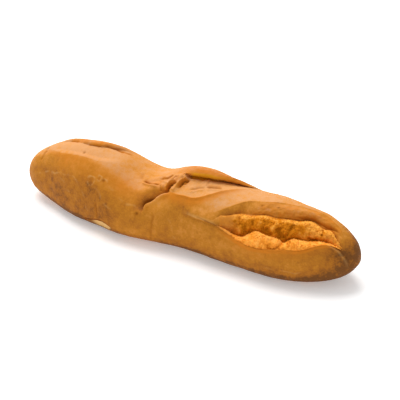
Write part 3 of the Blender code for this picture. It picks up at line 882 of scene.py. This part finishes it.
# Painted light on the torn dough: lighter on the crests and towards the tops of the lumps as a painted
# highlight, darker in its hollows, grooves, pits and at the ridge's foot as painted shade; a smooth skin
# covers the ridge's start
on_ridge = cn == BANDS.index("ridge")
height = 0.5 + 0.40 * soft_noise(crumb_skin, 3.4, 42) + 0.22 * soft_noise(crumb_skin, 1.6, 43)
height += 0.30 * soft_noise(crumb_skin, 7.0, 41) + on_ridge * (0.40 * hill(cs, CREST_SHARE, 0.10) - 0.05)
height -= on_ridge * 0.45 * hill(cs, 0.0, 0.16) * ease(60, 72, cx)
height += np.where(on_ridge, 0.42 * ease(98, 112, cx), 0.45 * cs - 0.12)
for groove_depth, half_width, route in CRUMB_GROOVES:
    distance, along = from_route(route, crumb_skin, crumb_outward)
    height -= 0.35 * groove_depth * hill(distance, 0.0, half_width) * fade_ends(along, 0.2, 0.8)
skinned = (1.0 - ragged) * (0.85 + 0.5 * soft_noise(crumb_skin, 3.0, 45))
for station, degrees, radius in ((56.1, -47.5, 1.1), (64.3, -53.3, 1.8), (60.5, -49.0, 0.8)):
    away = np.linalg.norm(crumb_skin - crust_point(station, degrees), axis=-1)
    height -= 0.8 * hill(away, 0.0, radius)
    skinned -= 0.9 * hill(away, 0.0, radius)
lump_share = np.where(on_ridge, 0.0, 1.0)
padding = np.zeros((CRUMB_RINGS, crumb_under.shape[1]))
mark(crumb, "height", np.concatenate([height, padding], axis=1))
mark(crumb, "lump", np.concatenate([lump_share, padding], axis=1))
mark(crumb, "skinned", np.concatenate([skinned, padding], axis=1))

# Shaded, middle and lit tones: the shaded tones are painted shade in the hollows, the lit tones a painted
# highlight on the crests
CRUMB_HOLLOW = (0.40, 0.118, 0.002)
CRUMB_FACE = (0.61, 0.190, 0.006)
CRUMB_LIGHT = (0.88, 0.38, 0.055)
LUMP_HOLLOW = (0.56, 0.150, 0.004)
LUMP_FACE = (0.90, 0.330, 0.036)
LUMP_LIGHT = (0.98, 0.440, 0.080)
SKIN_TAN = (0.55, 0.205, 0.032)


def crumb_material():
    """Torn crumb: yellow and grainy, orange on the low lumps, with painted shade in its hollows and a painted
    highlight on its crests.
    """
    material, tree, shader, place = new_material("torn_crumb")
    grains = spread(tree, noise_node(tree, place, 900, 4, -1300, 0), -0.09, 0.09, -1100, 0)
    patches = spread(tree, noise_node(tree, place, 250, 3, -1300, -220), -0.12, 0.12, -1100, -220)
    level = combine(tree, "ADD", attribute(tree, "height", -1100, 300), grains, -900, 200)
    level = combine(tree, "ADD", level, patches, -740, 100)
    ridge_stops = [(0.05, CRUMB_HOLLOW), (0.50, CRUMB_FACE), (1.0, CRUMB_LIGHT)]
    lump_stops = [(0.05, LUMP_HOLLOW), (0.50, LUMP_FACE), (1.0, LUMP_LIGHT)]
    ridge = colour_ramp(tree, level, ridge_stops, -500, 200)
    lumps = colour_ramp(tree, level, lump_stops, -500, 500)
    both = add_node(tree, "ShaderNodeMix", -200, 300, data_type="RGBA")
    tree.links.new(attribute(tree, "lump", -400, 0), both.inputs["Factor"])
    tree.links.new(ridge, both.inputs[6])
    tree.links.new(lumps, both.inputs[7])
    colour = both.outputs[2]
    skinned = combine(tree, "MULTIPLY", attribute(tree, "skinned", -700, -400), 0.85, -300, -300)
    colour = tint(tree, skinned, colour, SKIN_TAN, 100, 200)
    tree.links.new(colour, shader.inputs["Base Color"])
    shader.inputs["Specular IOR Level"].default_value = 0.05
    shader.inputs["Roughness"].default_value = 0.85
    bump = add_node(tree, "ShaderNodeBump", 600, -400)
    bump.inputs["Strength"].default_value = 0.4
    bump.inputs["Distance"].default_value = 0.0008
    tree.links.new(noise_node(tree, place, 1600, 3, 300, -500), bump.inputs["Height"])
    tree.links.new(bump.outputs["Normal"], shader.inputs["Normal"])
    return material


def grains_tree(inputs, material):
    """Scatter rough crumbs over the torn surface, thickest where the crumb is most torn."""
    tree, start, end = new_tree("crumb_grains", inputs)
    torn = add_node(tree, "GeometryNodeInputNamedAttribute", -1200, -300, data_type="FLOAT")
    torn.inputs["Name"].default_value = "torn"
    most = start.outputs["Grains per square metre"]
    density = combine(tree, "MULTIPLY", torn.outputs[0], most, -1000, -200)
    scatter = add_node(tree, "GeometryNodeDistributePointsOnFaces", -800, 0)
    tree.links.new(start.outputs["Geometry"], scatter.inputs["Mesh"])
    tree.links.new(density, scatter.inputs["Density"])
    tree.links.new(start.outputs["Seed"], scatter.inputs["Seed"])
    grain = add_node(tree, "GeometryNodeMeshIcoSphere", -800, 400)
    grain.inputs["Subdivisions"].default_value = 2
    tree.links.new(start.outputs["Grain radius"], grain.inputs["Radius"])
    place = add_node(tree, "GeometryNodeInputPosition", -800, 600)
    noise = add_node(tree, "ShaderNodeTexNoise", -600, 600)
    noise.inputs["Scale"].default_value = 1500.0
    tree.links.new(place.outputs[0], noise.inputs["Vector"])
    size = spread(tree, noise.outputs["Fac"], -0.6, 0.6, -400, 600)
    dent = add_node(tree, "ShaderNodeVectorMath", -200, 600, operation="SCALE")
    tree.links.new(place.outputs[0], dent.inputs[0])
    tree.links.new(size, dent.inputs["Scale"])
    rough = add_node(tree, "GeometryNodeSetPosition", 0, 400)
    tree.links.new(grain.outputs["Mesh"], rough.inputs["Geometry"])
    tree.links.new(dent.outputs["Vector"], rough.inputs["Offset"])
    turned = add_node(tree, "FunctionNodeRandomValue", -400, 200, data_type="FLOAT_VECTOR")
    turned.inputs["Max"].default_value = (6.283, 6.283, 6.283)
    tree.links.new(start.outputs["Seed"], turned.inputs["Seed"])
    scaled = add_node(tree, "FunctionNodeRandomValue", -400, -200, data_type="FLOAT")
    scaled.inputs[2].default_value = 0.5
    scaled.inputs[3].default_value = 1.5
    tree.links.new(start.outputs["Seed"], scaled.inputs["Seed"])
    put = add_node(tree, "GeometryNodeInstanceOnPoints", 200, 0)
    tree.links.new(scatter.outputs["Points"], put.inputs["Points"])
    tree.links.new(rough.outputs["Geometry"], put.inputs["Instance"])
    tree.links.new(turned.outputs[0], put.inputs["Rotation"])
    tree.links.new(scaled.outputs[1], put.inputs["Scale"])
    real = add_node(tree, "GeometryNodeRealizeInstances", 400, 0)
    tree.links.new(put.outputs["Instances"], real.inputs["Geometry"])
    paint = add_node(tree, "GeometryNodeSetMaterial", 600, 0)
    paint.inputs["Material"].default_value = material
    tree.links.new(real.outputs["Geometry"], paint.inputs["Geometry"])
    tree.links.new(paint.outputs["Geometry"], end.inputs["Geometry"])
    return tree


torn_crumb = crumb_material()
crumb.data.materials.append(torn_crumb)
mark(crumb, "torn", np.concatenate([ragged * end_fade * side_fade, padding], axis=1))
GRAINS = {"Grains per square metre": 0.9e6, "Grain radius": 0.0003, "Seed": 7}
grains_mesh = grow(crumb, grains_tree(GRAINS, torn_crumb), GRAINS, "crumb_grains")
grains_mesh.shade_smooth()
grains = bpy.data.objects.new("crumb_grains", grains_mesh)
bpy.context.scene.collection.objects.link(grains)
for piece in (crumb, grains):
    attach(piece, "root")

# ---------------------------------------------------------------------------
# Stage: a pale table top with no edge in view, soft light from above and behind on the left,
# and the camera.

FLOOR_SIZE = 6.0
FLOOR_COLOUR = (0.88, 0.88, 0.88, 1.0)
FLOOR_GLOW = 0.28

floor_mesh = bpy.data.meshes.new("floor")
form = bmesh.new()
bmesh.ops.create_grid(form, x_segments=1, y_segments=1, size=FLOOR_SIZE / 2)
form.to_mesh(floor_mesh)
form.free()
floor = bpy.data.objects.new("floor", floor_mesh)
bpy.context.scene.collection.objects.link(floor)
floor_material = bpy.data.materials.new("table_top")
floor_material.use_nodes = True
floor_shader = floor_material.node_tree.nodes["Principled BSDF"]
floor_shader.inputs["Base Color"].default_value = FLOOR_COLOUR
floor_shader.inputs["Roughness"].default_value = 0.9
floor_shader.inputs["Emission Color"].default_value = (1.0, 1.0, 1.0, 1.0)
floor_shader.inputs["Emission Strength"].default_value = FLOOR_GLOW
floor_mesh.materials.append(floor_material)

world = bpy.data.worlds.new("studio")
bpy.context.scene.world = world
world.use_nodes = True
world.node_tree.nodes["Background"].inputs["Color"].default_value = (1.0, 1.0, 1.0, 1.0)
world.node_tree.nodes["Background"].inputs["Strength"].default_value = 0.62


def add_area_light(name, place, size, energy):
    """Square soft light aimed at the loaf."""
    light = bpy.data.lights.new(name, "AREA")
    light.energy = energy
    light.size = size
    lamp = bpy.data.objects.new(name, light)
    bpy.context.scene.collection.objects.link(lamp)
    lamp.location = place
    lamp.rotation_euler = Vector(place).to_track_quat("Z", "Y").to_euler()


add_area_light("overhead", (-0.50, 0.40, 1.20), 1.2, 22.0)

CAMERA_LENS = 99.95
CAMERA_DISTANCE = 0.800
CAMERA_AZIMUTH = 29.05
CAMERA_ELEVATION = 28.0
AIM = (0.0141, 0.0065, 0.0309)

camera_data = bpy.data.cameras.new("camera")
camera_data.lens = CAMERA_LENS
camera = bpy.data.objects.new("camera", camera_data)
bpy.context.scene.collection.objects.link(camera)
turn, tilt = np.radians(CAMERA_AZIMUTH), np.radians(CAMERA_ELEVATION)
back = Vector((np.sin(turn) * np.cos(tilt), -np.cos(turn) * np.cos(tilt), np.sin(tilt)))
aim = Vector(AIM) + Vector((0.0, side_shift * MILLIMETRE, 0.0))
camera.location = aim + CAMERA_DISTANCE * back
camera.rotation_euler = back.to_track_quat("Z", "Y").to_euler()
bpy.context.scene.camera = camera
bpy.context.scene.view_settings.view_transform = "Standard"
